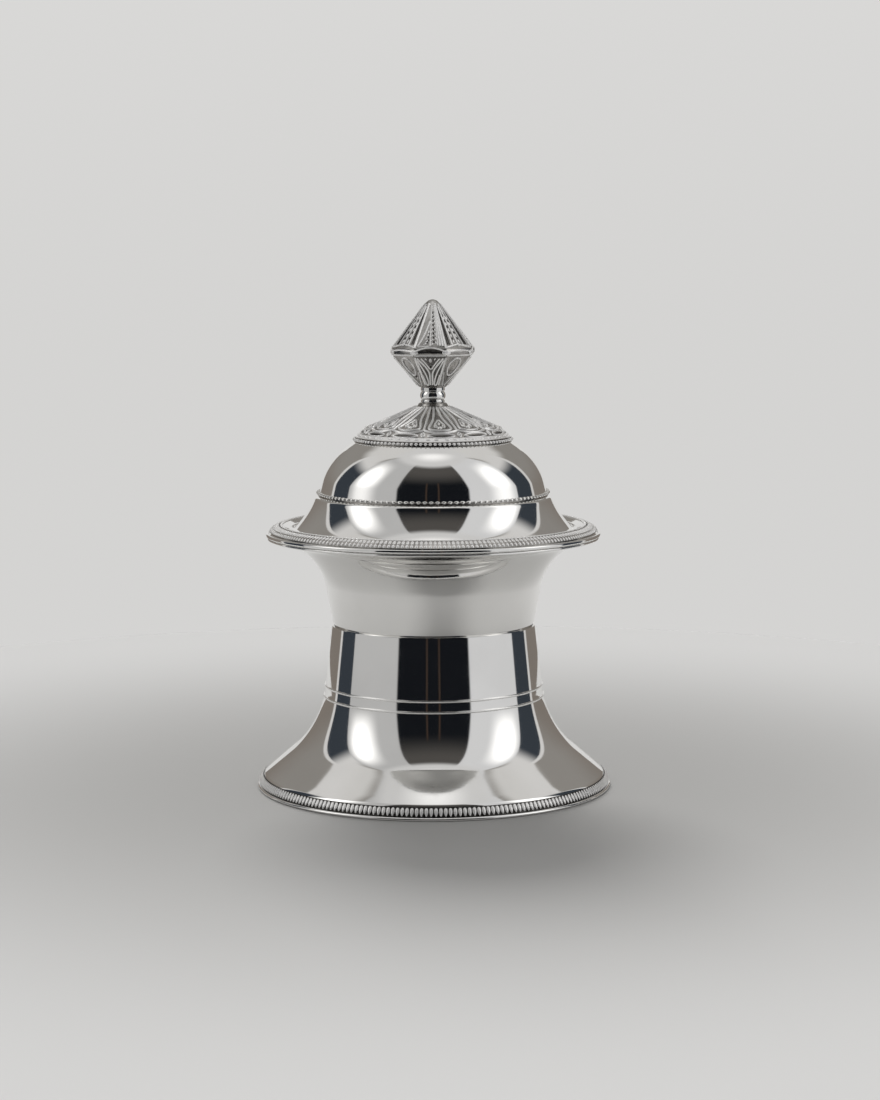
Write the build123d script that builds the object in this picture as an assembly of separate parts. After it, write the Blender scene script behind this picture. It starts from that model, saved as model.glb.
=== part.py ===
import math
import os

from build123d import *

# Kumkum box: a spun bell foot, a flared cup in its mouth, and a lift-off domed lid with a faceted finial.
# Sizes are in millimetres and degrees. The origin is the middle of the resting face, +Z is up, the front is -Y.
# Profiles are drawn as (radius, height) on the side of the sheet that shows, and the sheet lies behind it.

# Sheet and fits
gauge = 0.5  # spun sheet
cap_gauge = 0.4  # stamped sheet of the cone cap
solder_gap = 0.05  # between pieces that are soldered or clamped
seat_gap = 0.05  # between the closed lid and the cup's flange
bezel_clearance = 0.25  # bezel inside the cup's throat, all round
hole_clearance = 0.15  # holes round the screw's shank
straight_margin = 1.1  # straight between two roundings, over their need

# Lip ring and milled band of the foot
lip_radius = 35.15
lip_width = 2.6
lip_height = 0.7
lip_bevel = 0.25
band_setback = 0.2  # band inside the lip's edge
band_depth = 0.65
band_height = 0.9

# Bell foot
bell_height = 31.5  # above the lip ring
bell_taper = 6.2
flare_lean = 50.2  # from the vertical
flare_rounding = 17.0
hem_rise = 1.1  # hem above the milled band
hem_draw = 0.47  # hem's top inside its foot
hem_rounding = 1.5
line_heights = (17.4, 19.5)  # raised lines, above the lip ring
line_width = 0.5
line_proud = 0.15

# Cup
throat_radius = 19.94  # outside of the collar at its foot
cup_step = 0.27  # wall inside the bell, smaller than the collar's foot
cup_step_rise = 0.3
cup_step_rounding = 0.55
cup_floor_height = 14.0  # underside of the floor above the table
cup_floor_rounding = 4.0
collar_height = 17.68  # from the bell's top edge to the flange's top
collar_taper = 11.1
collar_rounding = 11.1
flange_flat = 1.9
flange_slope = 19.6  # from the horizontal
flange_rounding = 3.0

# Brim of the lid, heights above the seat
brim_radius = 33.13
brim_overhang = 0.3  # lid's edge outside the cup's flange
edge_wire_width = 0.65
edge_wire_height = 0.8
edge_wire_bevel = 0.2
brim_slope_width = 2.5  # from the ridge to the sheet's edge
ridge_rise = 2.15
ridge_rounding = 0.7
gutter_width = 1.55  # from the flat valley to the ridge
land_width = 0.8  # flat valley
land_rise = 1.5
land_rounding = 1.2
brow_width = 0.7  # from the bend in the brim's slope to the sheet's edge
brow_rise = 1.35
brow_rounding = 1.5
border_inset = 0.45  # milled border outside the ridge
border_thickness = 0.3

# Dome of the lid, heights above the seat
skirt_width = 4.28  # from the skirt's top to the flat valley
skirt_hollow = 0.5  # skirt's curve inside a straight line
skirt_rounding = 13.0
waist_rise = 8.12
waist_step = 0.8  # skirt's top outside the waist
waist_step_drop = 0.45
waist_rounding = 0.75
shoulder_draw = 1.82  # shoulder inside the waist
shoulder_width = 7.68  # from the flat crown to the shoulder
shoulder_drop = 5.05  # below the crown
shoulder_rounding = 11.5
crown_rise = 20.27
crown_rounding = 6.0
dome_bead_depth = 0.25
dome_bead_height = 0.85
dome_bead_rise = 0.45  # middle of the band above the waist

# Bezel under the lid
bezel_depth = 8.0  # below the seat
bezel_rounding = 1.2
bezel_inset = 0.3  # flange inside the land's edge

# Cone cap, heights above the dome's crown
cap_rise = 5.85
cap_top_radius = 2.7
cap_top_rounding = 0.5
cap_neck_radius = 3.1
cap_neck_drop = 0.72
cap_neck_rounding = 1.0
cap_border_width = 2.05  # from the cap's shoulder to its edge
cap_shoulder_rise = 0.8
cap_shoulder_rounding = 1.0
cap_reach = 2.2  # cap's edge outside the flat crown
cap_bead_radius = 0.28

# Neck bead
neck_height = 2.95
neck_ball_height = 1.6
neck_foot_radius = 2.5
neck_ball_radius = 2.62
neck_waist_radius = 2.3
neck_top_radius = 2.5

# Finial, an eight-sided double pyramid
finial_sides = 8
finial_turn = -3.6  # front facet from square
finial_corner_radius = 8.5
finial_foot_radius = 2.85
finial_base_height = 6.25
girdle_half_height = 0.72
finial_crown_height = 9.05
finial_tip_radius = 1.15
finial_tip_height = 0.3
finial_wall = 0.7  # measured at the corners

# Screw, washer and nut of the finial
shank_radius = 1.25
screw_head_radius = 2.25
screw_head_height = 1.6
head_clearance = 0.3  # screw head inside the finial
screw_slot_width = 0.6
screw_slot_depth = 0.7
screw_end = 1.0  # below the nut
washer_radius = 3.0
washer_thickness = 0.5
nut_across_flats = 5.0
nut_height = 2.0

# Heights that the stack gives
band_top = lip_height + solder_gap + band_height
seam_height = lip_height + bell_height
step_height = seam_height + gauge * math.sin(math.radians(bell_taper)) + solder_gap
collar_foot = step_height + cup_step_rise
rim_height = seam_height + collar_height
seat_height = rim_height + seat_gap
brim_edge_height = seat_height + gauge + solder_gap
crown_height = seat_height + crown_rise
waist_height = seat_height + waist_rise
cap_height = crown_height + cap_rise
neck_bottom = cap_height + solder_gap
finial_bottom = neck_bottom + neck_height + solder_gap
girdle_bottom = finial_bottom + finial_base_height
equator_height = girdle_bottom + girdle_half_height
crown_bottom = equator_height + solder_gap
washer_top = crown_height - gauge - solder_gap
nut_top = washer_top - washer_thickness - solder_gap
screw_bottom = nut_top - nut_height - screw_end

# Radii that the fits give
cup_wall_radius = throat_radius - cup_step
bell_top_radius = cup_wall_radius + solder_gap + gauge
hem_radius = lip_radius - band_setback - band_depth - solder_gap
flange_radius = brim_radius - brim_overhang
brim_edge_radius = brim_radius - edge_wire_width - solder_gap
ridge_radius = brim_edge_radius - brim_slope_width
land_radius = ridge_radius - gutter_width
valley_radius = land_radius - land_width
skirt_radius = valley_radius - skirt_width
waist_radius = skirt_radius - waist_step
shoulder_radius = waist_radius - shoulder_draw
crown_radius = shoulder_radius - shoulder_width
cap_edge_radius = crown_radius + cap_reach
cap_shoulder_radius = cap_edge_radius - cap_border_width
hole_radius = shank_radius + hole_clearance

# Floor of the finial's hollow, at the height where the screw's head fits
finial_floor_radius = (screw_head_radius + head_clearance) / math.cos(math.pi / finial_sides)
finial_flare = (finial_corner_radius - finial_foot_radius) / finial_base_height
finial_floor = (finial_floor_radius + finial_wall - finial_foot_radius) / finial_flare

# The dome between its flat crown and its shoulder
shoulder_slope = shoulder_drop / shoulder_width


def shoulder_height(radius):
    return crown_height - (radius - crown_radius) * shoulder_slope


def leaning(lean):
    return Vector(math.sin(math.radians(lean)), math.cos(math.radians(lean)))


def crossing(start, start_direction, end, end_direction):
    gap = Vector(*end) - Vector(*start)
    turn = start_direction.X * end_direction.Y - start_direction.Y * end_direction.X
    along = (gap.X * end_direction.Y - gap.Y * end_direction.X) / turn
    point = Vector(*start) + start_direction * along
    return (point.X, point.Y)


def rounded(points, roundings):
    # A rounding keeps its radius unless it would use up one of its two straights.
    corners = [Vector(*point) for point in points]
    runs = [end - start for start, end in zip(corners, corners[1:])]
    tangents = [math.tan(math.radians(before.get_angle(after) / 2)) for before, after in zip(runs, runs[1:])]
    reaches = [0] + [radius * tangent for radius, tangent in zip(roundings, tangents)] + [0]
    needs = [(first + last) * straight_margin for first, last in zip(reaches, reaches[1:])]
    fits = [run.length / max(run.length, need) for run, need in zip(runs, needs)]
    radii = [radius * min(fits[i], fits[i + 1]) for i, radius in enumerate(roundings)]
    return FilletPolyline(*points, radius=radii)


def spun(profile, sheet, side):
    # Of the two strips along the profile, the one that holds a point beside its start, on the side asked for.
    wire = profile.wire()
    ahead = wire.tangent_at(0)
    across = Vector(-ahead.Y, ahead.X) if side == Side.LEFT else Vector(ahead.Y, -ahead.X)
    beside = wire.position_at(0) + (ahead + across) * (sheet / 2)
    strips = [make_face(wire.offset_2d(sheet, side=way).edges()).face() for way in (Side.LEFT, Side.RIGHT)]
    strip = [face for face in strips if face.is_inside(beside)][0]
    return revolve(Plane.XZ * strip, Axis.Z)


def ring(inner, outer, bottom, height):
    return Pos(0, 0, bottom) * extrude(Circle(outer) - Circle(inner), height)


def octagon(radius, height):
    turn = 180 / finial_sides + finial_turn
    return Pos(0, 0, height) * RegularPolygon(radius, finial_sides, rotation=turn)


def make_bell_foot():
    top = (bell_top_radius, seam_height)
    hem_top = (hem_radius - hem_draw, band_top + hem_rise)
    hem_shoulder = (hem_radius, band_top)
    hem_foot = (hem_radius, lip_height + solder_gap)
    bend = crossing(top, leaning(180 - bell_taper), hem_top, leaning(180 - flare_lean))
    points = [top, bend, hem_top, hem_shoulder, hem_foot]
    profile = rounded(points, [flare_rounding, hem_rounding, hem_rounding])
    bell = spun(profile, gauge, Side.RIGHT)
    proud_skin = spun(profile, line_proud, Side.LEFT)
    for height in line_heights:
        bell += proud_skin & Pos(0, 0, lip_height + height) * Cylinder(lip_radius, line_width)
    return bell


def make_foot_lip_ring():
    body = ring(lip_radius - lip_width, lip_radius, 0, lip_height)
    outer_edges = body.edges().filter_by(GeomType.CIRCLE).group_by(SortBy.RADIUS)[-1]
    return chamfer(outer_edges, lip_bevel)


def make_foot_milled_band():
    outer = lip_radius - band_setback
    return ring(outer - band_depth, outer, lip_height + solder_gap, band_height)


def collar_point():
    foot = (throat_radius, collar_foot)
    flat_start = (flange_radius - flange_flat, rim_height - gauge)
    return crossing(foot, leaning(collar_taper), flat_start, leaning(90 - flange_slope))


def make_cup():
    points = [
        (0, cup_floor_height),
        (cup_wall_radius, cup_floor_height),
        (cup_wall_radius, step_height),
        (throat_radius, collar_foot),
        collar_point(),
        (flange_radius - flange_flat, rim_height - gauge),
        (flange_radius, rim_height - gauge),
    ]
    roundings = [cup_floor_rounding, cup_step_rounding, cup_step_rounding, collar_rounding, flange_rounding]
    return spun(rounded(points, roundings), gauge, Side.LEFT)


def brim_slope():
    ridge = (ridge_radius, seat_height + ridge_rise)
    brow = (brim_edge_radius - brow_width, seat_height + brow_rise)
    edge = (brim_edge_radius, brim_edge_height)
    return [ridge, brow, edge]


def dome_profile():
    skirt_top = Vector(skirt_radius, waist_height - waist_step_drop)
    valley = Vector(valley_radius, seat_height + land_rise)
    skirt = valley - skirt_top
    skirt_bend = (skirt_top + valley) / 2 + Vector(skirt.Y, -skirt.X).normalized() * (2 * skirt_hollow)
    points = [
        (hole_radius, crown_height),
        (crown_radius, crown_height),
        (shoulder_radius, crown_height - shoulder_drop),
        (waist_radius, waist_height),
        skirt_top,
        skirt_bend,
        valley,
        (land_radius, seat_height + land_rise),
    ]
    roundings = [
        crown_rounding,
        shoulder_rounding,
        waist_rounding,
        waist_rounding,
        skirt_rounding,
        land_rounding,
        land_rounding,
        ridge_rounding,
        brow_rounding,
    ]
    return rounded(points + brim_slope(), roundings)


def make_lid_dome():
    return spun(dome_profile(), gauge, Side.RIGHT)


def make_lid_edge_wire():
    section = chamfer(Rectangle(edge_wire_width, edge_wire_height).vertices(), edge_wire_bevel)
    middle = (brim_radius - edge_wire_width / 2, seat_height + edge_wire_height / 2)
    return revolve(Plane.XZ * Pos(*middle) * section, Axis.Z)


def make_brim_border():
    ridge, brow, edge = [Vector(*point) for point in brim_slope()]
    start = ridge + (brow - ridge).normalized() * border_inset
    end = edge - (edge - brow).normalized() * border_thickness
    slope = rounded([start, brow, end], [brow_rounding])
    return spun(slope, solder_gap + border_thickness, Side.LEFT) - spun(slope, solder_gap, Side.LEFT)


def make_lid_bezel():
    foot_height = seat_height - bezel_depth
    taper = math.radians(collar_taper)
    throat = throat_radius + (foot_height - collar_foot) * math.tan(taper) - gauge / math.cos(taper)
    inner = throat - bezel_clearance - gauge
    top = seat_height + land_rise - gauge - solder_gap
    points = [(land_radius - bezel_inset, top), (inner, top), (inner, foot_height)]
    return spun(rounded(points, [bezel_rounding]), gauge, Side.LEFT)


def make_dome_bead_band():
    profile = dome_profile()
    skin = spun(profile, solder_gap + dome_bead_depth, Side.LEFT) - spun(profile, solder_gap, Side.LEFT)
    return skin & Pos(0, 0, waist_height + dome_bead_rise) * Cylinder(brim_radius, dome_bead_height)


def make_cone_cap():
    edge_rise = cap_gauge * math.hypot(1, shoulder_slope) + solder_gap
    points = [
        (hole_radius, cap_height),
        (cap_top_radius, cap_height),
        (cap_neck_radius, cap_height - cap_neck_drop),
        (cap_shoulder_radius, crown_height + cap_shoulder_rise),
        (cap_edge_radius, shoulder_height(cap_edge_radius) + edge_rise),
    ]
    roundings = [cap_top_rounding, cap_neck_rounding, cap_shoulder_rounding]
    return spun(rounded(points, roundings), cap_gauge, Side.RIGHT)


def make_cap_bead_band():
    radius = cap_edge_radius + cap_bead_radius + solder_gap
    rise = (cap_bead_radius + solder_gap) * math.hypot(1, shoulder_slope)
    return Pos(0, 0, shoulder_height(radius) + rise) * Torus(radius, cap_bead_radius)


def make_neck_bead():
    top = neck_bottom + neck_height
    ball_top = neck_bottom + neck_ball_height
    foot = (neck_foot_radius, neck_bottom)
    waist = (neck_waist_radius, ball_top)
    head = (neck_top_radius, top)
    outline = ThreePointArc(foot, (neck_ball_radius, (neck_bottom + ball_top) / 2), waist)
    outline += ThreePointArc(waist, (neck_waist_radius, (ball_top + top) / 2), head)
    outline += Polyline(head, (hole_radius, top), (hole_radius, neck_bottom), foot)
    return revolve(Plane.XZ * make_face(outline.edges()), Axis.Z)


def make_finial_base():
    foot = octagon(finial_foot_radius, finial_bottom)
    girdle = octagon(finial_corner_radius, girdle_bottom)
    floor = octagon(finial_floor_radius, finial_bottom + finial_floor)
    mouth = octagon(finial_corner_radius - finial_wall, girdle_bottom)
    body = loft([foot, girdle], ruled=True) + extrude(girdle, girdle_half_height)
    body -= loft([floor, mouth], ruled=True) + extrude(mouth, girdle_half_height)
    hole = Pos(0, 0, finial_bottom) * extrude(Circle(hole_radius), finial_floor)
    return body - hole


def make_finial_crown():
    girdle_top = crown_bottom + girdle_half_height
    tip_bottom = girdle_top + finial_crown_height
    tip_top = tip_bottom + finial_tip_height
    girdle = octagon(finial_corner_radius, crown_bottom)
    slope_start = octagon(finial_corner_radius, girdle_top)
    slope_end = octagon(finial_tip_radius, tip_bottom)
    tip = octagon(finial_tip_radius - finial_tip_height, tip_top)
    mouth = octagon(finial_corner_radius - finial_wall, crown_bottom)
    hollow_start = octagon(finial_corner_radius - finial_wall, girdle_top)
    hollow_end = octagon(finial_tip_radius - finial_wall, tip_bottom)
    body = extrude(girdle, girdle_half_height) + loft([slope_start, slope_end], ruled=True)
    body += loft([slope_end, tip], ruled=True)
    return body - extrude(mouth, girdle_half_height) - loft([hollow_start, hollow_end], ruled=True)


def make_finial_screw():
    head_bottom = finial_bottom + finial_floor + solder_gap
    head = Pos(0, 0, head_bottom) * extrude(Circle(screw_head_radius), screw_head_height)
    slot_middle = head_bottom + screw_head_height - screw_slot_depth / 2
    head -= Pos(0, 0, slot_middle) * Box(2 * screw_head_radius, screw_slot_width, screw_slot_depth)
    shank = Pos(0, 0, screw_bottom) * extrude(Circle(shank_radius), head_bottom - screw_bottom)
    return head + shank


def make_finial_washer():
    return ring(hole_radius, washer_radius, washer_top - washer_thickness, washer_thickness)


def make_finial_nut():
    hexagon = RegularPolygon(nut_across_flats / 2, 6, major_radius=False)
    bore = Circle(shank_radius + solder_gap)
    return Pos(0, 0, nut_top - nut_height) * extrude(hexagon - bore, nut_height)


nodes = {
    "bell_foot": make_bell_foot,
    "foot_lip_ring": make_foot_lip_ring,
    "foot_milled_band": make_foot_milled_band,
    "cup": make_cup,
    "lid_dome": make_lid_dome,
    "lid_edge_wire": make_lid_edge_wire,
    "brim_border": make_brim_border,
    "lid_bezel": make_lid_bezel,
    "dome_bead_band": make_dome_bead_band,
    "cone_cap": make_cone_cap,
    "cap_bead_band": make_cap_bead_band,
    "neck_bead": make_neck_bead,
    "finial_base": make_finial_base,
    "finial_crown": make_finial_crown,
    "finial_screw": make_finial_screw,
    "finial_washer": make_finial_washer,
    "finial_nut": make_finial_nut,
}

os.makedirs("parts", exist_ok=True)
for name, make in nodes.items():
    export_step(make(), f"parts/{name}.step")
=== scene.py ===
import math

import bmesh
import bpy
from mathutils import Matrix, Vector


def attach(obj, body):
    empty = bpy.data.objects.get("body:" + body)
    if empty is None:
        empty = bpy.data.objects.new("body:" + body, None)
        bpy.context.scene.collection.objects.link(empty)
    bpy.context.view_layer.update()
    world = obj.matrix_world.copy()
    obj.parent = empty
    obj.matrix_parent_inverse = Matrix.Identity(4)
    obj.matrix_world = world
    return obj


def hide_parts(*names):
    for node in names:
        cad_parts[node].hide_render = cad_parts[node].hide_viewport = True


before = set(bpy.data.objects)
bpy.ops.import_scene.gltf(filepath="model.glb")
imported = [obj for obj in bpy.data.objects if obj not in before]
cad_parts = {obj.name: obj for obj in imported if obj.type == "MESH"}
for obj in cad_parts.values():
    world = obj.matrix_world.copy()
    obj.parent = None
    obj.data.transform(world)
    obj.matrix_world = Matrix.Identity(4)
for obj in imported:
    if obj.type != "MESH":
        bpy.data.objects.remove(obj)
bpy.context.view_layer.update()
scene = bpy.context.scene
mm = 0.001  # shapes are drawn in millimetres and brought to metres when a piece is finished


class Wire:  # one socket of a node tree, with maths on values
    def __init__(self, tree, socket):
        self.tree = tree
        self.socket = socket

    def node(self, kind, settings, inputs, output=0):
        made = self.tree.nodes.new(kind)
        for name, value in settings.items():
            setattr(made, name, value)
        for key, value in inputs.items():
            socket = made.inputs[key]
            if isinstance(value, Wire):
                self.tree.links.new(value.socket, socket)
            elif socket.type == "RGBA":
                socket.default_value = (*value, 1.0)
            else:
                socket.default_value = value
        return Wire(self.tree, made.outputs[output]) if made.outputs else made

    def beside(self, name):  # another output of the same node
        return Wire(self.tree, self.socket.node.outputs[name])

    def maths(self, operation, first, second=0.0):
        return self.node("ShaderNodeMath", {"operation": operation}, {0: first, 1: second})

    def __add__(self, other):
        return self.maths("ADD", self, other)

    __radd__ = __add__

    def __sub__(self, other):
        return self.maths("SUBTRACT", self, other)

    def __rsub__(self, other):
        return self.maths("SUBTRACT", other, self)

    def __mul__(self, other):
        return self.maths("MULTIPLY", self, other)

    __rmul__ = __mul__

    def rise(self, low, high):  # 0 at low, 1 at high, soft between; low may be the larger one
        return self.node(
            "ShaderNodeMapRange",
            {"interpolation_type": "SMOOTHSTEP"},
            {"Value": self, "From Min": low, "From Max": high},
        )

    def blend(self, first, second):  # this wire is the mask between two colours
        return self.node("ShaderNodeMix", {"data_type": "RGBA"}, {0: self, 6: first, 7: second}, 2)

    def bump(self, height, strength, depth, **under):
        inputs = {"Strength": strength, "Distance": depth, "Height": height, **under}
        return self.node("ShaderNodeBump", {}, inputs)

    def noise(self, scale, detail):
        inputs = {"Vector": self, "Scale": scale, "Detail": detail}
        return self.node("ShaderNodeTexNoise", {}, inputs)


def startMaterial(name):
    material = bpy.data.materials.new(name)
    material.use_nodes = True
    material.node_tree.nodes.clear()
    start = Wire(material.node_tree, None)
    return material, start.node("ShaderNodeTexCoord", {}, {}, "Object")


def endMaterial(place, sockets):
    shader = place.node("ShaderNodeBsdfPrincipled", {}, sockets)
    place.node("ShaderNodeOutputMaterial", {}, {"Surface": shader})


turnedDrift = 0.02  # how far turned marks wander along their way round


def turning(place):  # distance from the axis and height, so that marks run round the piece
    x = place.node("ShaderNodeSeparateXYZ", {}, {0: place})
    y, z = x.beside("Y"), x.beside("Z")
    reach = x.maths("SQRT", x * x + y * y)
    return x.node("ShaderNodeCombineXYZ", {}, {"X": reach, "Y": z, "Z": x * turnedDrift})


mirrorFinish = {
    "cloudScale": 60.0, "cloudRange": (0.35, 0.65), "pale": (0.95, 0.945, 0.93), "deep": (0.9, 0.895, 0.88),
    "lineScale": 2600.0, "lineDepth": 0.0000006, "waveScale": 55.0, "waveDepth": 0.00003,
    "rough": 0.035, "roughSpread": 0.035, "wipeScale": 420.0, "wipeRange": (0.5, 0.75), "wipeRough": 0.02,
    "innerRough": 0.12,
}


def mirrorSilver(name, f, extraRough=0.0):
    material, place = startMaterial(name)
    cloud = place.noise(f["cloudScale"], 4.0)
    lines = turning(place).noise(f["lineScale"], 3.0)
    wipe = place.noise(f["wipeScale"], 5.0).rise(*f["wipeRange"])  # faint wiping marks
    wave = place.noise(f["waveScale"], 1.0)
    soft = place.bump(wave, 1.0, f["waveDepth"])
    endMaterial(place, {
        "Base Color": cloud.rise(*f["cloudRange"]).blend(f["deep"], f["pale"]),
        "Metallic": 1.0,
        "Roughness": f["rough"] + extraRough + lines * f["roughSpread"] + wipe * f["wipeRough"],
        "Normal": place.bump(lines, 1.0, f["lineDepth"], Normal=soft),
    })
    return material


reliefFinish = {
    "grainScale": 1500.0, "grainStrength": 0.6, "grainDepth": 0.000006, "grainShare": 0.4,
    "cloudScale": 260.0, "cloudShare": 0.6, "range": (0.36, 0.62),
    "pale": (0.5, 0.485, 0.465), "deep": (0.32, 0.31, 0.295), "rough": 0.16, "roughSpread": 0.12,
}
crownFinish = {**reliefFinish, "pale": (0.52, 0.51, 0.495), "deep": (0.36, 0.35, 0.335), "rough": 0.1}


def reliefGround(name, f):  # struck ground between the raised lines, matt and a little tarnished
    material, place = startMaterial(name)
    grain = place.noise(f["grainScale"], 4.0)
    cloud = place.noise(f["cloudScale"], 3.0)
    worn = cloud * f["cloudShare"] + grain * f["grainShare"]
    endMaterial(place, {
        "Base Color": worn.rise(*f["range"]).blend(f["deep"], f["pale"]),
        "Metallic": 1.0,
        "Roughness": f["rough"] + grain * f["roughSpread"],
        "Normal": place.bump(grain, f["grainStrength"], f["grainDepth"]),
    })
    return material


ridgeFinish = {
    "rubScale": 900.0, "rubStrength": 0.4, "rubDepth": 0.00001, "range": (0.3, 0.6),
    "pale": (0.99, 0.985, 0.975), "deep": (0.92, 0.915, 0.905), "rough": 0.28, "roughSpread": 0.16,
    "metal": 0.6,
}


def ridgeSilver(name, f):  # raised lines and beads, a pale satin
    material, place = startMaterial(name)
    rub = place.noise(f["rubScale"], 3.0)
    endMaterial(place, {
        "Base Color": rub.rise(*f["range"]).blend(f["deep"], f["pale"]),
        "Metallic": f["metal"],
        "Roughness": f["rough"] + rub * f["roughSpread"],
        "Normal": place.bump(rub, f["rubStrength"], f["rubDepth"]),
    })
    return material


patinaShadeFinish = {
    "mottleScale": 1200.0, "range": (0.35, 0.7), "pale": (0.12, 0.115, 0.11), "deep": (0.035, 0.033, 0.03),
    "rough": 0.3, "roughSpread": 0.25,
}


def patinaAndShade(name, f):  # dirt and dark patina in the deepest cuts, and painted shade where this dark finish is laid in gaps, grooves, pits and a crescent
    material, place = startMaterial(name)
    mottle = place.noise(f["mottleScale"], 4.0)
    endMaterial(place, {
        "Base Color": mottle.rise(*f["range"]).blend(f["deep"], f["pale"]),
        "Metallic": 1.0,
        "Roughness": f["rough"] + mottle * f["roughSpread"],
    })
    return material


steelFinish = {
    "lineScale": 4200.0, "lineStrength": 0.5, "lineDepth": 0.000006, "range": (0.3, 0.7),
    "pale": (0.66, 0.66, 0.66), "deep": (0.5, 0.5, 0.51), "rough": 0.22, "roughSpread": 0.16,
}


def turnedSteel(name, f):
    material, place = startMaterial(name)
    lines = turning(place).noise(f["lineScale"], 2.0)
    endMaterial(place, {
        "Base Color": lines.rise(*f["range"]).blend(f["deep"], f["pale"]),
        "Metallic": 1.0,
        "Roughness": f["rough"] + lines * f["roughSpread"],
        "Normal": place.bump(lines, f["lineStrength"], f["lineDepth"]),
    })
    return material


silver = mirrorSilver("mirrorSilver", mirrorFinish)
innerSilver = mirrorSilver("innerSilver", mirrorFinish, mirrorFinish["innerRough"])
ground = reliefGround("reliefGround", reliefFinish)
crownGround = reliefGround("crownGround", crownFinish)
ridge = ridgeSilver("ridgeSilver", ridgeFinish)
# the dark finish: patina in the deepest cuts, and painted shade in gaps, grooves, pits and a crescent
dark = patinaAndShade("patinaAndPaintedShade", patinaShadeFinish)
steel = turnedSteel("turnedSteel", steelFinish)
print("materials made")

straightCuts = 4  # cuts in each long straight part of a profile
joinReach = 0.0001  # points nearer than this become one
sameLevel = 0.01  # points nearer than this count as one level or rim
sharpAngle = 38.0  # degrees between faces, above which an edge shows sharp


def turned(points, roundings, wall=0.0, closed=False, steps=256, segments=10, cut=1.6):
    # a profile of a few points, its corners rounded, spun round the axis; wall is laid inside it
    bm = bmesh.new()
    corners = [bm.verts.new((r, 0, z)) for r, z in points]
    for first, second in zip(corners, corners[1:]):
        bm.edges.new((first, second))
    if closed:
        bm.edges.new((corners[-1], corners[0]))
    for place, radius in roundings.items():
        around = (place - 1, place, place + 1)
        last, here, following = (Vector(points[k % len(points)]) for k in around)
        turn = (here - last).angle(following - here)
        bmesh.ops.bevel(
            bm, geom=[corners[place]], offset=radius * math.tan(turn / 2), offset_type="OFFSET",
            affect="VERTICES", segments=max(segments, int(radius * 2)), profile=0.5, material=-1,
        )
    straight = [edge for edge in bm.edges if edge.calc_length() > cut]
    bmesh.ops.subdivide_edges(bm, edges=straight, cuts=straightCuts)
    bmesh.ops.spin(
        bm, geom=bm.verts[:] + bm.edges[:], cent=(0, 0, 0), axis=(0, 0, 1),
        angle=math.tau, steps=steps, use_merge=True,
    )
    bmesh.ops.remove_doubles(bm, verts=bm.verts, dist=joinReach)
    bmesh.ops.recalc_face_normals(bm, faces=bm.faces)
    if not closed:
        lean = sum(f.normal.xy.dot(f.calc_center_median().xy) for f in bm.faces)
        if lean < 0:
            bmesh.ops.reverse_faces(bm, faces=bm.faces[:])
    if wall:
        bmesh.ops.solidify(bm, geom=bm.faces[:], thickness=wall)
    return bm


def addTo(bm, other, slot=0):  # puts one shape into another, with its own material slot
    if slot is not None:
        for face in other.faces:
            face.material_index = slot
    carried = bpy.data.meshes.new("carried")
    other.to_mesh(carried)
    other.free()
    bm.from_mesh(carried)
    bpy.data.meshes.remove(carried)


def repeat(bm, count):  # copies a shape round the axis
    bmesh.ops.spin(
        bm, geom=bm.verts[:] + bm.edges[:] + bm.faces[:], cent=(0, 0, 0), axis=(0, 0, 1),
        angle=math.tau * (count - 1) / count, steps=count - 1, use_duplicate=True,
    )
    return bm


def bead(size, place, lean=0.0, taper=0.0, twist=0.0, around=8, along=6):
    # a small rounded bead: size across, out and along; lean tips its top away from the axis
    bm = bmesh.new()
    bmesh.ops.create_uvsphere(bm, u_segments=around, v_segments=along, radius=1.0)
    for v in bm.verts:
        v.co.x *= 1 - taper * (0.5 - v.co.z / 2)
    bmesh.ops.scale(bm, vec=size, verts=bm.verts)
    tip = Matrix.Rotation(math.radians(lean), 4, "X") @ Matrix.Rotation(math.radians(twist), 4, "Y")
    quarter = Matrix.Rotation(math.radians(90), 4, "Z")  # across runs round the ring, out away from it
    moved = Matrix.Translation((place[0], 0, place[1])) @ quarter @ tip
    bmesh.ops.transform(bm, matrix=moved, verts=bm.verts)
    bmesh.ops.recalc_face_normals(bm, faces=bm.faces)
    return bm


lineDetail = {"section": 1, "steps": 4, "order": 3}


def wireLine(points, width, closed=False):
    # a raised line: a smooth curve led by a few points with a round section, made a mesh
    curve = bpy.data.curves.new("line", "CURVE")
    curve.dimensions = "3D"
    curve.bevel_depth = width / 2
    curve.bevel_resolution = lineDetail["section"]
    curve.resolution_u = lineDetail["steps"]
    curve.use_fill_caps = True
    spline = curve.splines.new("NURBS")
    spline.points.add(len(points) - 1)
    for point, co in zip(spline.points, points):
        point.co = (*co, 1.0)
    spline.order_u = lineDetail["order"]
    spline.use_cyclic_u = closed
    spline.use_endpoint_u = not closed
    drawn = bpy.data.objects.new("line", curve)
    mesh = bpy.data.meshes.new_from_object(drawn)
    bm = bmesh.new()
    bm.from_mesh(mesh)
    bpy.data.objects.remove(drawn)
    bpy.data.curves.remove(curve)
    bpy.data.meshes.remove(mesh)
    bmesh.ops.remove_doubles(bm, verts=bm.verts, dist=joinReach)
    bmesh.ops.recalc_face_normals(bm, faces=bm.faces)
    return bm


def finishPiece(bm, name, body, node, slot, *finishes):
    bmesh.ops.scale(bm, vec=(mm, mm, mm), verts=bm.verts)
    mesh = bpy.data.meshes.new(name)
    bm.to_mesh(mesh)
    bm.free()
    mesh.polygons.foreach_set("use_smooth", [True] * len(mesh.polygons))
    mesh.set_sharp_from_angle(angle=math.radians(sharpAngle))
    for finish in finishes:
        mesh.materials.append(finish)
    piece = bpy.data.objects.new(name, mesh)
    scene.collection.objects.link(piece)
    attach(piece, body)
    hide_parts(node)
    print("made", name, len(mesh.polygons), "faces")
    return piece


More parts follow.
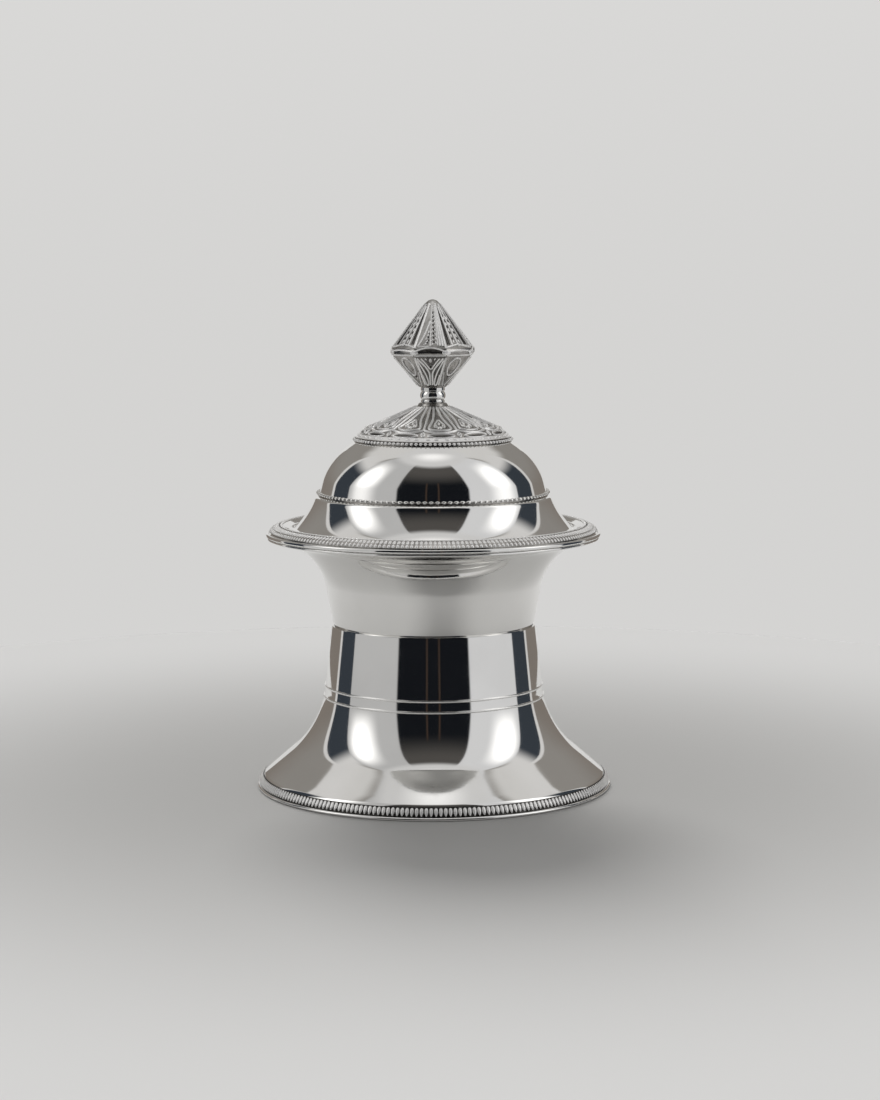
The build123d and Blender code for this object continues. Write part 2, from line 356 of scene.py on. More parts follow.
bell = {
    "profile": [(20.22, 32.2), (22.39, 12.24), (33.78, 2.75), (34.25, 1.65), (34.25, 0.75)],
    "roundings": {1: 17.0, 2: 1.5, 3: 1.5}, "wall": 0.5,
    "lines": [(21.53, 20.2), (21.79, 18.1)], "lineSize": (0.17, 0.27), "lineFlat": 0.8,
    "lineRounding": 0.16,
}


def makeBell(b):
    bm = turned(b["profile"], b["roundings"], b["wall"], segments=12)
    out, up = b["lineSize"]
    flat = up * b["lineFlat"]
    corners = [(-out, -up), (out, -flat), (out, flat), (-out, up)]
    rounded = {1: b["lineRounding"], 2: b["lineRounding"]}
    for reach, height in b["lines"]:
        hoop = [(reach + r, height + z) for r, z in corners]
        addTo(bm, turned(hoop, rounded, closed=True, segments=4))
    return finishPiece(bm, "bellFoot", "base", "bell_foot", "polished_silver", silver)


makeBell(bell)

footEdge = {
    "lip": [(32.55, 0.0), (34.95, 0.0), (35.15, 0.2), (35.15, 0.45), (34.9, 0.7), (32.55, 0.7)],
    "lipRoundings": {1: 0.2, 2: 0.2, 3: 0.25, 4: 0.25},
    "band": [(34.3, 1.15), (34.62, 1.15), (34.02, 2.44), (33.95, 2.5), (34.2, 1.7)],
    "cut": [(34.3, 0.75), (34.72, 0.75), (34.6, 1.15), (34.3, 1.15)],
    "teeth": 238, "tooth": (0.52, 0.27, 0.94), "toothPlace": (34.34, 1.68),
    "toothLean": -34.0, "toothTaper": 0.5,
}


def makeFootEdge(e):
    lip = turned(e["lip"], e["lipRoundings"], closed=True, segments=5)
    finishPiece(lip, "footLipRing", "base", "foot_lip_ring", "polished_silver", silver)
    # the band's body (slot 0) and the cut ring under it (slot 2) take the dark finish: painted shade
    # between the teeth and between band and lip
    band = turned(e["band"], {}, closed=True)
    tooth = bead(e["tooth"], e["toothPlace"], e["toothLean"], e["toothTaper"])
    addTo(band, repeat(tooth, e["teeth"]), 1)
    addTo(band, turned(e["cut"], {}, closed=True), 2)
    finishPiece(band, "footMilledBand", "base", "foot_milled_band", "relief_silver", dark, ridge, dark)


makeFootEdge(footEdge)

cup = {
    "profile": [(0.0, 14.0), (19.67, 14.0), (19.67, 32.304), (19.94, 32.604), (22.65, 46.43),
                (30.93, 49.38), (32.83, 49.38)],
    "roundings": {1: 4.0, 2: 0.3, 3: 0.3, 4: 11.1, 5: 3.0}, "wall": 0.5, "rim": 0.2,
}


def makeCup(c):
    bm = turned(c["profile"], c["roundings"], c["wall"])
    reach = c["profile"][-1][0] - sameLevel
    rim = [e for e in bm.edges if all(v.co.xy.length > reach for v in e.verts)]
    rim = [e for e in rim if abs(e.verts[0].co.z - e.verts[1].co.z) < sameLevel]
    bmesh.ops.bevel(bm, geom=rim, offset=c["rim"], offset_type="OFFSET", affect="EDGES", segments=4,
                    profile=0.5, material=-1)
    return finishPiece(bm, "cup", "base", "cup", "polished_silver", silver)


makeCup(cup)

dome = {
    "profile": [(1.4, 70.2), (13.0, 70.2), (20.68, 65.15), (22.5, 58.05), (23.3, 57.6), (24.62, 53.95),
                (27.58, 51.43), (28.38, 51.43), (29.93, 52.08), (31.73, 51.28), (32.43, 50.48)],
    "roundings": {1: 6.0, 2: 11.5, 3: 0.6, 4: 0.6, 5: 13.0, 6: 1.0, 7: 1.0, 8: 0.7, 9: 1.3},
    "wall": 0.5,
}
finishPiece(turned(dome["profile"], dome["roundings"], dome["wall"]),
            "lidDome", "lid", "lid_dome", "polished_silver", silver)

brim = {
    "wire": [(32.48, 49.93), (33.13, 49.93), (33.13, 50.73), (32.48, 50.73)], "wireRounding": 0.32,
    "strip": [(30.36, 51.95), (31.73, 51.33), (32.2, 50.8), (32.34, 50.92), (31.85, 51.5),
              (30.44, 52.12)],
    "groove": [(30.22, 51.98), (30.36, 51.92), (30.4, 52.07), (30.27, 52.11)],
    "inner": [(29.72, 51.88), (30.2, 51.82), (30.24, 52.18), (29.98, 52.3), (29.7, 52.16)],
    "innerRoundings": {2: 0.12, 3: 0.12, 4: 0.1},
    "ribs": 230,
    "rows": [{"size": (0.33, 0.15, 0.62), "place": (31.08, 51.84), "lean": -66.0},
             {"size": (0.33, 0.15, 0.42), "place": (32.02, 51.24), "lean": -42.0}],
}


def makeBrim(b):
    r = b["wireRounding"]
    edge = turned(b["wire"], {0: r, 1: r, 2: r, 3: r}, closed=True, segments=6)
    finishPiece(edge, "lidEdgeWire", "lid", "lid_edge_wire", "polished_silver", silver)
    strip = turned(b["strip"], {}, closed=True)
    for row in b["rows"]:
        addTo(strip, repeat(bead(row["size"], row["place"], row["lean"]), b["ribs"]), 1)
    addTo(strip, turned(b["inner"], b["innerRoundings"], closed=True, segments=3), 1)
    # the groove takes the dark finish: painted shade in the groove
    addTo(strip, turned(b["groove"], {}, closed=True), 2)
    finishPiece(strip, "brimBorder", "lid", "brim_border", "relief_silver", ground, ridge, dark)


makeBrim(brim)

bezel = {"profile": [(28.08, 50.38), (21.01, 50.38), (21.01, 41.93)], "roundings": {1: 0.7}, "wall": 0.5}
finishPiece(turned(bezel["profile"], bezel["roundings"], bezel["wall"]),
            "lidBezel", "lid", "lid_bezel", "polished_silver", innerSilver)

beadWires = {
    "dome": {"core": [(22.36, 58.08), (22.84, 58.08), (22.8, 58.36), (22.3, 58.5)], "count": 119,
             "bead": (0.62, 0.34, 0.31), "place": (22.7, 58.44), "lean": -14.0, "taper": 0.55,
             "finish": silver},
    "cap": {"core": [(15.3, 68.66), (15.66, 68.66), (15.64, 68.9), (15.3, 69.0)], "count": 106,
            "bead": (0.46, 0.26, 0.3), "place": (15.54, 68.93), "lean": -30.0, "taper": 0.45,
            "finish": ridge},
}


def makeBeadWire(w, name, node):
    core = turned(w["core"], {}, closed=True)
    addTo(core, repeat(bead(w["bead"], w["place"], w["lean"], w["taper"]), w["count"]), 1)
    return finishPiece(core, name, "lid", node, "polished_silver", ground, w["finish"])


makeBeadWire(beadWires["dome"], "domeBeadBand", "dome_bead_band")
makeBeadWire(beadWires["cap"], "capBeadBand", "cap_bead_band")
print("shells and bands made")

cap = {
    "profile": [(1.4, 76.05), (2.7, 76.05), (3.1, 75.33), (13.15, 71.0), (15.2, 69.28)],
    "roundings": {1: 0.5, 2: 0.6, 3: 1.0}, "wall": 0.4,
    "petals": 12, "turn": 7.0, "bold": 0.62, "line": 0.46, "fine": 0.34, "lift": 0.06,
    "border": [(14.3, 69.86), (14.95, 69.3), (15.05, 69.42), (14.4, 70.08)],
    "petal": [(3.5, -4.6), (6.5, -5.4), (9.0, -7.6), (10.9, -10.6), (12.0, -10.8), (12.45, -5.0),
              (12.5, 0.0)],
    "stem": [(3.5, 15.0), (7.0, 15.0), (10.0, 15.0), (12.8, 15.0)],
    "swag": [(12.5, -15), (12.95, -11.5), (13.3, -5), (13.35, 0), (13.3, 5), (12.95, 11.5), (12.5, 15)],
    "curl": [(8.4, 0.8), (9.3, 3.0), (10.2, 5.4), (11.1, 5.4), (11.25, 3.2), (10.6, 2.6), (10.4, 3.8)],
    "gem": [(13.05, 15.0), (13.65, 16.9), (14.25, 15.0), (13.65, 13.1)],
    "oval": (13.88, 0.42, 11.0), "ovalSteps": 14,
    "leaves": (4.2, 10.6), "leafReach": 14.66, "leafSize": (0.62, 0.2, 0.26), "leafLean": -50,
    "beads": [(13.65, 15, (0.2, 0.16, 0.2), -45, 1), (11.3, 0, (0.5, 0.28, 0.5), -66, 1),
              (9.7, 0, (0.24, 0.18, 0.7), -66, 1), (13.88, 0, (1.9, 0.07, 0.2), -50, 2)],
}


def onCap(reach, degrees, lift=0.0):  # a point on the cone, by distance from its axis and angle off a petal
    points = cap["profile"][2:]
    (r0, z0), (r1, z1) = (points[0], points[1]) if reach < points[1][0] else (points[1], points[2])
    height = z0 + (z1 - z0) * (reach - r0) / (r1 - r0)
    away = Vector((z0 - z1, r1 - r0)).normalized() * lift
    angle = math.radians(degrees - 90 + cap["turn"])
    out = reach + away.x
    return Vector((out * math.cos(angle), out * math.sin(angle), height + away.y))


def capLine(bm, points, width, closed=False):
    addTo(bm, wireLine([onCap(r, a, cap["lift"]) for r, a in points], width, closed), 1)


def capBead(bm, reach, degrees, size, lean, slot):
    made = bead(size, (reach, onCap(reach, 0).z), lean)
    angle = math.radians(degrees - 90 + cap["turn"])
    bmesh.ops.rotate(made, cent=(0, 0, 0), matrix=Matrix.Rotation(angle, 3, "Z"), verts=made.verts)
    addTo(bm, made, slot)


def makeCap(c):
    bm = turned(c["profile"], c["roundings"], c["wall"])
    addTo(bm, turned(c["border"], {}, closed=True), 1)
    sector = bmesh.new()
    mirrored = [(r, -a) for r, a in reversed(c["petal"][:-1])]
    capLine(sector, c["petal"] + mirrored, c["line"])
    capLine(sector, c["stem"], c["line"])
    capLine(sector, c["swag"], c["bold"])
    middle, half, shadowPoolSpread = c["oval"]
    turns = [math.tau * n / c["ovalSteps"] for n in range(c["ovalSteps"])]
    oval = [(middle + half * math.sin(k), shadowPoolSpread * math.cos(k)) for k in turns]
    capLine(sector, oval, c["fine"], True)
    capLine(sector, c["gem"], c["fine"], True)
    for side in (-1, 1):
        capLine(sector, [(r, side * a) for r, a in c["curl"]], c["fine"])
        for leaf in c["leaves"]:
            capBead(sector, c["leafReach"], side * leaf, c["leafSize"], c["leafLean"], 1)
    for reach, degrees, size, lean, slot in c["beads"]:
        capBead(sector, reach, degrees, size, lean, slot)
    addTo(bm, repeat(sector, c["petals"]), None)
    return finishPiece(bm, "coneCap", "lid", "cone_cap", "relief_silver", ground, ridge, dark)


makeCap(cap)

neck = {
    "profile": [(1.4, 76.1), (2.36, 76.1), (2.36, 76.5), (2.22, 76.62), (2.86, 77.38), (2.22, 78.28),
                (2.38, 78.42), (2.38, 79.05), (1.4, 79.05)],
    "roundings": {1: 0.12, 2: 0.12, 4: 1.2, 6: 0.12, 7: 0.1},
}
finishPiece(turned(neck["profile"], neck["roundings"], closed=True, steps=96, segments=6),
            "neckBead", "lid", "neck_bead", "polished_silver", silver)

finial = {
    "sides": 8, "turn": -3.6, "foot": (2.85, 79.1), "girdleLow": (8.5, 85.66), "joint": (8.5, 86.095),
    "girdleHigh": (8.5, 86.53), "tip": (1.22, 95.7), "crest": (0.76, 96.04), "peak": (0.26, 96.19),
    "edge": 0.22, "crownEdge": 0.6, "belt": 0.38, "crease": 0.35, "fold": 1.045,
    "bold": 0.46, "line": 0.36, "fine": 0.28, "lift": 0.04, "beadLift": 0.02,
}
# relief of the two halves: lines are (share of the facet's height, share of its half width)
lotus = {
    "corner": [(0.09, 1.0), (0.4, 1.0), (0.9, 1.0)], "cornerLift": -0.08,
    "rim": [(0.025, -0.96), (0.025, 0.0), (0.025, 0.96)], "rimLift": -0.02,
    "vee": [(0.1, 0.84), (0.3, 0.5), (0.52, 0.14), (0.66, 0.12), (0.9, 0.16)],
    "inner": [(0.11, 0.6), (0.24, 0.36), (0.42, 0.08)],
    "loop": [(0.16, 0.9), (0.5, 0.56), (0.8, 0.36), (0.94, 0.46), (0.9, 0.8), (0.6, 0.86)],
    "bud": (0.13, 0.3, (0.13, 0.12, 0.3), 30),
    "foot": [(0.52, 0.8), (0.76, 0.5), (0.93, 0.2)],
    "middle": [(0.17, (0.26, 0.16, 0.52), 1), (0.36, (0.2, 0.14, 0.18), 2), (0.43, (0.15, 0.14, 0.15), 1)],
    "oval": (0.36, 0.27, 0.52), "ovalSteps": 12,
    "ovalBeads": [(0.34, 0.0, (0.95, 0.14, 1.5), 0), (0.66, 0.06, (0.26, 0.16, 0.26), 2),
                  (0.7, 0.24, (0.16, 0.16, 0.22), 1)],
}
crown = {
    "corner": [(0.05, 1.0), (0.5, 1.0), (0.97, 1.0)], "cornerLift": -0.06,
    "rib": [(0.08, 0.0), (0.5, 0.0), (0.95, 0.0)],
    "arch": [(0.35, -0.95), (0.85, -0.5), (1.05, 0.0), (0.85, 0.5), (0.35, 0.95)],
    "archHigh": [(0.01, -0.7), (0.042, -0.35), (0.056, 0.0), (0.042, 0.35), (0.01, 0.7)],
    "archLift": 0.06, "archFoot": (0.3, 0.97), "archFootLift": 0.04,
    "crescent": [(0.3, -0.8), (0.75, -0.45), (0.95, 0.0), (0.75, 0.45), (0.3, 0.8)],
    "crescentWidth": 0.46, "crescentLift": -0.17,
    "sideLine": [(0.1, 0.5), (0.5, 0.5), (0.88, 0.5)],
    "fan": [(0.08, -0.8), (0.3, -0.42), (0.6, -0.12)],
    "fanFoot": [(0.08, -0.74), (0.075, -0.4), (0.08, -0.06)],
    "strips": (0.66, 0.83), "stripEnds": (0.09, 0.5, 0.93),
    "chain": 8, "chainStart": 0.13, "chainStep": 0.085,
    "chainBeads": [(0.0, 0.14, (0.16, 0.14, 0.36), 28, 1), (0.03, 0.38, (0.16, 0.14, 0.36), -28, 1),
                   (0.05, 0.26, (0.17, 0.13, 0.3), 0.0, 2)],
    "sprig": [(0.13, -0.34, 50), (0.18, -0.24, 35), (0.24, -0.3, 30), (0.31, -0.2, 20), (0.38, -0.16, 10)],
    "sprigLeaf": (0.17, 0.16, 0.4), "sprigPit": (0.16, 0.13, 0.26), "sprigPitOff": (0.03, 0.12),
    "roof": [(0.06, 0.95), (0.12, 0.02)], "column": [(0.1, 0.46), (0.5, 0.46), (0.9, 0.46)],
    "cuts": (0.66, 0.8), "cutEnds": (0.12, 0.5, 0.9), "cutLift": -0.14,
    "rows": 5, "rowStep": 0.12, "rowAcross": 0.24, "rowLeaf": (0.18, (0.18, 0.14, 0.42), -12),
    "rowPit": (0.24, (0.17, 0.12, 0.24)),
    "pad": (0.9, 0.24, 0.5), "padOut": 0.06,
}


def faceted(levels, f, fold=1.0):  # an eight-sided solid through rings; fold lifts the middle of each side
    bm = bmesh.new()
    sides = f["sides"] * (1 if fold == 1.0 else 2)
    below = None
    for radius, height in levels:
        made = bmesh.ops.create_circle(bm, segments=sides, radius=radius, cap_ends=False)["verts"]
        if fold != 1.0:
            inOrder = sorted(made, key=lambda v: math.atan2(v.co.y, v.co.x))
            shrink = math.cos(math.pi / f["sides"]) * fold
            bmesh.ops.scale(bm, vec=(shrink, shrink, 1), verts=inOrder[1::2])
        bmesh.ops.translate(bm, vec=(0, 0, height), verts=made)
        edges = [e for e in bm.edges if all(v in made for v in e.verts)]
        if below:
            bmesh.ops.bridge_loops(bm, edges=below + edges)
        else:
            bmesh.ops.contextual_create(bm, geom=edges)
        below = edges
    bmesh.ops.contextual_create(bm, geom=below)
    bmesh.ops.recalc_face_normals(bm, faces=bm.faces)
    widest = max(bm.verts, key=lambda v: v.co.xy.length)
    turn = math.radians(180 / f["sides"] + f["turn"]) - math.atan2(widest.co.y, widest.co.x)
    bmesh.ops.rotate(bm, cent=(0, 0, 0), matrix=Matrix.Rotation(turn, 3, "Z"), verts=bm.verts)
    return bm


def softenEdges(bm, width, keep):  # rounds the edges, but not those on the joint between the halves
    belt = (finial["girdleLow"][1], finial["girdleHigh"][1])
    rims = [e for e in bm.edges if all(min(abs(v.co.z - z) for z in belt) < sameLevel for v in e.verts)]
    bmesh.ops.bevel(bm, geom=rims, offset=finial["belt"], offset_type="OFFSET", affect="EDGES", segments=5,
                    profile=0.5, material=-1)
    edges = [e for e in bm.edges if e.calc_face_angle(0) > finial["crease"]]
    edges = [e for e in edges if max(abs(v.co.z - keep) for v in e.verts) > sameLevel]
    bmesh.ops.bevel(bm, geom=edges, offset=width, offset_type="OFFSET", affect="EDGES", segments=3,
                    profile=0.5, material=-1)


def facetTurn(step):  # the way a facet faces; step counts facets from the front
    return math.radians(-90 + finial["turn"] + step * 360 / finial["sides"])


def onFacet(rings, share, across, lift=0.0, step=0):  # a point on a facet between two rings, with its fold
    flat = math.cos(math.pi / finial["sides"])
    (r0, z0), (r1, z1), fold = rings
    out = (r0 + (r1 - r0) * share) * flat
    height = z0 + (z1 - z0) * share
    away = Vector((abs(z1 - z0), (r0 - r1) * flat * (1 if z1 > z0 else -1))).normalized() * lift
    half = out * math.tan(math.pi / finial["sides"])
    swell = out * (fold - 1) * (1 - abs(across))
    turn = Matrix.Rotation(facetTurn(step), 3, "Z")
    return turn @ Vector((out + swell + away.x, across * half, height + away.y))


def facetLine(bm, rings, points, width, step, lift=finial["lift"], closed=False, slot=1):
    addTo(bm, wireLine([onFacet(rings, t, a, lift, step) for t, a in points], width, closed), slot)


def facetBead(bm, rings, share, across, size, step, twist=0.0, slot=1):
    (r0, z0), (r1, z1) = rings[:2]
    slope = math.degrees(math.atan2((r0 - r1) * math.cos(math.pi / finial["sides"]), abs(z1 - z0)))
    made = bead(size, (0, 0), -slope if z1 > z0 else slope, 0.0, twist)
    turn = Matrix.Rotation(facetTurn(step), 3, "Z")
    bmesh.ops.rotate(made, cent=(0, 0, 0), matrix=turn, verts=made.verts)
    place = onFacet(rings, share, across, finial["beadLift"], step)
    bmesh.ops.translate(made, vec=place, verts=made.verts)
    addTo(bm, made, slot)


def sided(points, side):  # a line's points on one side of the facet's middle
    return [(share, side * across) for share, across in points]


def makeFinialBase(f, b):
    bm = faceted([f["foot"], f["girdleLow"], f["joint"]], f)
    softenEdges(bm, f["edge"], f["joint"][1])
    rings = (f["girdleLow"], f["foot"], 1.0)
    bold, line, fine = f["bold"], f["line"], f["fine"]
    pair = bmesh.new()
    for step in (0, 1):
        facetLine(pair, rings, b["corner"], bold, step, b["cornerLift"])
        facetLine(pair, rings, b["rim"], fine, step, b["rimLift"])
    budShare, budAcross, budSize, budTwist = b["bud"]
    for side in (-1, 1):  # lotus facet: two folds that cross down to the foot, and a long loop each side
        facetLine(pair, rings, sided(b["vee"], side), line, 0)
        facetLine(pair, rings, sided(b["inner"], side), fine, 0)
        facetLine(pair, rings, sided(b["loop"], side), fine, 0)
        facetBead(pair, rings, budShare, side * budAcross, budSize, 0, side * budTwist)
        facetLine(pair, rings, sided(b["foot"], side), fine, 1)
    for share, size, slot in b["middle"]:
        facetBead(pair, rings, share, 0.0, size, 0, 0.0, slot)
    middle, half, shadowPoolSpread = b["oval"]
    turns = [math.tau * n / b["ovalSteps"] for n in range(b["ovalSteps"])]
    oval = [(middle + half * math.sin(k), shadowPoolSpread * math.cos(k)) for k in turns]
    facetLine(pair, rings, oval, line, 1, f["lift"], True)
    for share, across, size, slot in b["ovalBeads"]:
        facetBead(pair, rings, share, across, size, 1, 0.0, slot)
    addTo(bm, repeat(pair, f["sides"] // 2), None)
    return finishPiece(bm, "finialBase", "lid", "finial_base", "relief_silver", ground, ridge, dark)


def makeFinialCrown(f, c):
    bm = faceted([f["joint"], f["girdleHigh"], f["tip"], f["crest"], f["peak"]], f, f["fold"])
    softenEdges(bm, f["edge"] * f["crownEdge"], f["joint"][1])
    rings = (f["girdleHigh"], f["tip"], f["fold"])
    belt = (f["joint"], f["girdleHigh"], f["fold"])
    bold, line, fine = f["bold"], f["line"], f["fine"]
    pair = bmesh.new()
    for step in (0, 1):
        facetLine(pair, rings, c["corner"], bold, step, c["cornerLift"])
        facetLine(pair, rings, c["rib"], line, step)
    facetLine(pair, belt, c["arch"], line, 1, 0.0)
    high = [onFacet(rings, share, across, c["archLift"]) for share, across in c["archHigh"]]
    footShare, footAcross = c["archFoot"]
    low = [onFacet(belt, footShare, side * footAcross, c["archFootLift"]) for side in (-1, 1)]
    addTo(pair, wireLine([low[0], *high, low[1]], line), 1)
    # a dark crescent laid on the belt's front facet: painted shade of a recess
    facetLine(pair, belt, c["crescent"], c["crescentWidth"], 0, c["crescentLift"], False, 2)
    facetLine(pair, rings, c["sideLine"], fine, 0)
    facetLine(pair, rings, c["fan"], line, 0)
    facetLine(pair, rings, c["fanFoot"], line, 0)
    for across in c["strips"]:  # a broad bright strip right of the chain
        strip = [(share, across) for share in c["stripEnds"]]
        facetLine(pair, rings, strip, bold, 0, 0.0)
    for n in range(c["chain"]):  # a chain of small leaves beside the middle rib, with dark pits between: painted shade in the pits
        start = c["chainStart"] + c["chainStep"] * n
        for on, across, size, tilt, slot in c["chainBeads"]:
            facetBead(pair, rings, start + on, across, size, 0, tilt, slot)
    # sprig leaves, each with a dark pit beside it: painted shade
    for share, across, tilt in c["sprig"]:
        on, beside = c["sprigPitOff"]
        facetBead(pair, rings, share, across, c["sprigLeaf"], 0, tilt)
        facetBead(pair, rings, share + on, across + beside, c["sprigPit"], 0, tilt, 2)
    leafShare, leafSize, leafTilt = c["rowLeaf"]
    pitShare, pitSize = c["rowPit"]
    for side in (-1, 1):
        facetLine(pair, rings, sided(c["roof"], side), line, 1)
        facetLine(pair, rings, sided(c["column"], side), line, 1)
        for across in c["cuts"]:  # a dark strip laid beside each corner rib: painted shade of a cut
            cut = [(share, side * across) for share in c["cutEnds"]]
            facetLine(pair, rings, cut, bold, 1, c["cutLift"], False, 2)
        # rows of leaves, each with a dark pit: painted shade
        for n in range(c["rows"]):
            on = c["rowStep"] * n
            across = side * c["rowAcross"]
            facetBead(pair, rings, leafShare + on, across, leafSize, 1, side * leafTilt)
            facetBead(pair, rings, pitShare + on, across, pitSize, 1, 0.0, 2)
    reach = f["joint"][0] - c["pad"][1] + c["padOut"]
    for step in (0, 1):  # a round pad on each corner of the belt
        made = bead(c["pad"], (0, 0), around=12, along=8)
        corner = facetTurn(step + 0.5)
        turn = Matrix.Rotation(corner, 3, "Z")
        bmesh.ops.rotate(made, cent=(0, 0, 0), matrix=turn, verts=made.verts)
        place = (reach * math.cos(corner), reach * math.sin(corner), f["joint"][1])
        bmesh.ops.translate(made, vec=place, verts=made.verts)
        addTo(pair, made, 1)
    addTo(bm, repeat(pair, f["sides"] // 2), None)
    return finishPiece(bm, "finialCrown", "lid", "finial_crown", "relief_silver", crownGround, ridge, dark)


makeFinialBase(finial, lotus)
makeFinialCrown(finial, crown)

for node in ("finial_screw", "finial_washer", "finial_nut"):  # the fixing keeps its own solids
    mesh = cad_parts[node].data
    mesh.materials.clear()
    mesh.materials.append(steel)
print("relief made")

# the floor's colour is darker round the box: a painted shadow pool, deep near the middle and rising to pale
# across its spread
floorLook = {
    "radius": 0.21, "sides": 96,
    "pale": (0.66, 0.655, 0.645), "deep": (0.42, 0.415, 0.405), "shadowPoolSpread": (0.05, 0.2),
    "cloudScale": 9.0, "cloudDrift": 0.01, "rough": 0.8, "roughSpread": 0.1, "shine": 0.2,
}


def makeStage(name, material, bm):
    mesh = bpy.data.meshes.new(name)
    bm.to_mesh(mesh)
    bm.free()
    mesh.materials.append(material)
    made = bpy.data.objects.new(name, mesh)
    scene.collection.objects.link(made)
    return made


def makeFloor(f):
    material, place = startMaterial("paleFloor")
    cloud = place.noise(f["cloudScale"], 3.0)
    reach = place.node("ShaderNodeVectorMath", {"operation": "LENGTH"}, {0: place}, "Value")
    away = reach + cloud * f["cloudDrift"]
    endMaterial(place, {
        # painted shadow: the floor darker near the box
        "Base Color": away.rise(*f["shadowPoolSpread"]).blend(f["deep"], f["pale"]),
        "Roughness": f["rough"] + cloud * f["roughSpread"],
        "Specular IOR Level": f["shine"],
    })
    bm = bmesh.new()
    bmesh.ops.create_circle(bm, cap_ends=True, segments=f["sides"], radius=f["radius"])
    makeStage("floor", material, bm)


makeFloor(floorLook)

backdrop = {
    "low": (0.66, 0.655, 0.645), "high": (0.76, 0.755, 0.745), "rise": (-0.08, 0.4),
    "light": (0.55, 0.55, 0.55),
}


def makeWorld(b):
    world = bpy.data.worlds.new("paleRoom")
    scene.world = world
    world.use_nodes = True
    world.node_tree.nodes.clear()
    start = Wire(world.node_tree, None)
    way = start.node("ShaderNodeTexCoord", {}, {}, "Generated")
    up = way.node("ShaderNodeSeparateXYZ", {}, {0: way}).beside("Z")
    shown = up.rise(*b["rise"]).blend(b["low"], b["high"])
    rays = start.node("ShaderNodeLightPath", {}, {}, "Is Camera Ray")
    direct = rays + rays.beside("Is Glossy Ray") + rays.beside("Is Transmission Ray")
    colour = direct.blend(b["light"], shown)
    light = start.node("ShaderNodeBackground", {}, {"Color": colour, "Strength": 1.0})
    start.node("ShaderNodeOutputWorld", {}, {"Surface": light})


makeWorld(backdrop)

lamp = {"up": 40.0, "side": 10.0, "strength": 2.2, "softness": 26.0}


def makeLamp(b):  # high behind the box, so that its soft shadow falls to the front
    light = bpy.data.lights.new("softLamp", "SUN")
    light.energy = b["strength"]
    light.angle = math.radians(b["softness"])
    made = bpy.data.objects.new("softLamp", light)
    made.rotation_euler = (math.radians(b["up"] - 90), 0, math.radians(b["side"]))
    made.visible_glossy = False
    scene.collection.objects.link(made)


makeLamp(lamp)

# panels in front, beside and over the box for the metal to mirror, in degrees off the front and up;
# low behind the box they are open, and there the metal shows the pale backdrop
studio = {
    "radius": 0.8, "around": 72, "rows": 36, "open": (160, 20),
    "flagLow": (0.2, 0.176, 0.155), "flag": (0.25, 0.237, 0.22), "flagUp": (0, 30),
    "behindHigh": (0.6, 0.59, 0.575), "behindOff": (96, 104), "behindUp": (42, 52),
    "strip": (0.62, 0.61, 0.6), "stripOff": (125, 123.5), "stripUp": (62, 50),
    "slit": (0.035, 0.042, 0.052), "slitOff": (120.5, 119.5), "slitUp": (48, 36),
    "softboxLeft": (0.46, 0.457, 0.455), "softbox": (0.62, 0.62, 0.625), "softboxSide": (-20, 20),
    "softboxOff": (97, 95.5), "softboxUp": (80, 70),
    "hot": (1.7, 1.685, 1.66), "hotOff": [(58, 80), (97, 84)], "hotUp": [(5, 38), (66, 42)],
    "frontDark": (0.006, 0.007, 0.009), "frontHigh": (0.075, 0.07, 0.065), "frontUp": (36, 62),
    "frontOff": (39.5, 37),
    "stand": (0.045, 0.03, 0.022), "stands": (6.0, -7.0), "standWidth": (1.2, 0.5), "standUp": (46, 40),
    "ceilingEdge": (0.6, 0.595, 0.59), "ceiling": (0.98, 0.97, 0.96), "ceilingSpread": (75, 89),
    "ceilingUp": (66, 73),
}


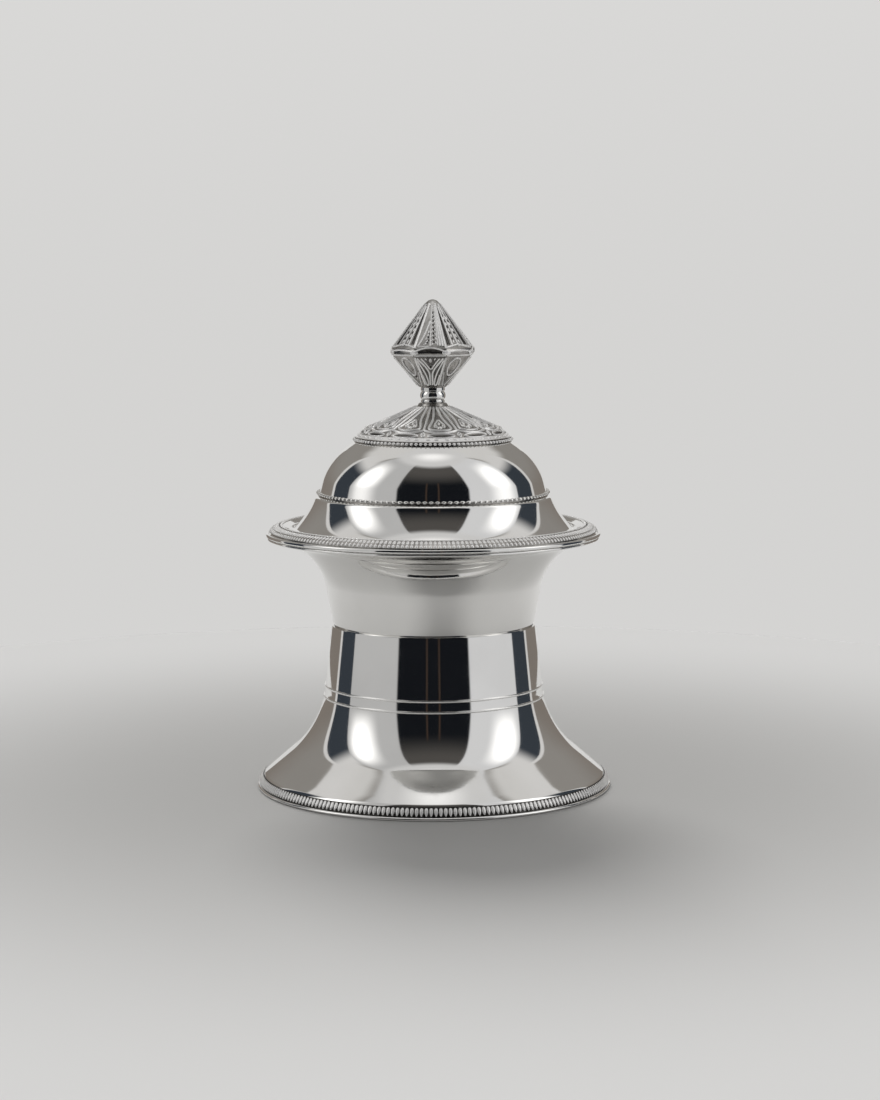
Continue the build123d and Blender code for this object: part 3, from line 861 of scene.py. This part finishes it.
def panelColour(s, x, y, z):  # each panel is laid over the last one
    degrees = 180 / math.pi
    side = x.maths("ARCTAN2", x, 0.0 - y) * degrees
    off = x.maths("ABSOLUTE", side)
    up = x.maths("ARCSINE", z) * degrees
    colour = up.rise(*s["flagUp"]).blend(s["flagLow"], s["flag"])
    colour = (off.rise(*s["behindOff"]) * up.rise(*s["behindUp"])).blend(colour, s["behindHigh"])
    colour = (off.rise(*s["stripOff"]) * up.rise(*s["stripUp"])).blend(colour, s["strip"])
    colour = (off.rise(*s["slitOff"]) * up.rise(*s["slitUp"])).blend(colour, s["slit"])
    (offIn, offOut), (upIn, upOut) = s["hotOff"], s["hotUp"]
    spot = off.rise(*offIn) * off.rise(*offOut) * up.rise(*upIn) * up.rise(*upOut)
    box = side.rise(*s["softboxSide"]).blend(s["softboxLeft"], s["softbox"])
    box = spot.blend(box, s["hot"])
    colour = (off.rise(*s["softboxOff"]) * up.rise(*s["softboxUp"])).blend(colour, box)
    front = up.rise(*s["frontUp"]).blend(s["frontDark"], s["frontHigh"])
    first, second = (x.maths("ABSOLUTE", side - place).rise(*s["standWidth"]) for place in s["stands"])
    front = ((first + second) * up.rise(*s["standUp"])).blend(front, s["stand"])
    colour = off.rise(*s["frontOff"]).blend(colour, front)
    ceiling = up.rise(*s["ceilingSpread"]).blend(s["ceilingEdge"], s["ceiling"])
    return up.rise(*s["ceilingUp"]).blend(colour, ceiling)


def makeStudio(s):
    material, place = startMaterial("studioPanels")
    way = place.node("ShaderNodeVectorMath", {"operation": "NORMALIZE"}, {0: place})
    x = way.node("ShaderNodeSeparateXYZ", {}, {0: way})
    colour = panelColour(s, x, x.beside("Y"), x.beside("Z"))
    glow = place.node("ShaderNodeEmission", {}, {"Color": colour, "Strength": 1.0})
    place.node("ShaderNodeOutputMaterial", {}, {"Surface": glow})
    bm = bmesh.new()
    bmesh.ops.create_uvsphere(bm, u_segments=s["around"], v_segments=s["rows"], radius=s["radius"])
    off, up = s["open"]
    gap = []
    for face in bm.faces:
        x, y, z = face.calc_center_median().normalized()
        if abs(math.atan2(x, -y)) > math.radians(off) and math.asin(z) < math.radians(up):
            gap.append(face)
    bmesh.ops.delete(bm, geom=gap, context="FACES")
    panels = makeStage("studioPanels", material, bm)
    panels.visible_camera = False
    panels.visible_diffuse = False
    panels.visible_shadow = False
    panels.visible_transmission = False
    panels.visible_volume_scatter = False


makeStudio(studio)

eye = {
    "place": (0.001494, -0.49277, 0.10616), "down": 6.8673, "roll": 0.17, "lens": 82.054, "sensor": 36.0,
    "near": 0.01,
}
camera = bpy.data.cameras.new("camera")
camera.sensor_width = eye["sensor"]
camera.lens = eye["lens"]
camera.clip_start = eye["near"]
view = bpy.data.objects.new("camera", camera)
view.location = eye["place"]
view.rotation_euler = (math.radians(90 - eye["down"]), math.radians(eye["roll"]), 0)
scene.collection.objects.link(view)
scene.camera = view
scene.view_settings.view_transform = "Standard"
print("studio and camera set")
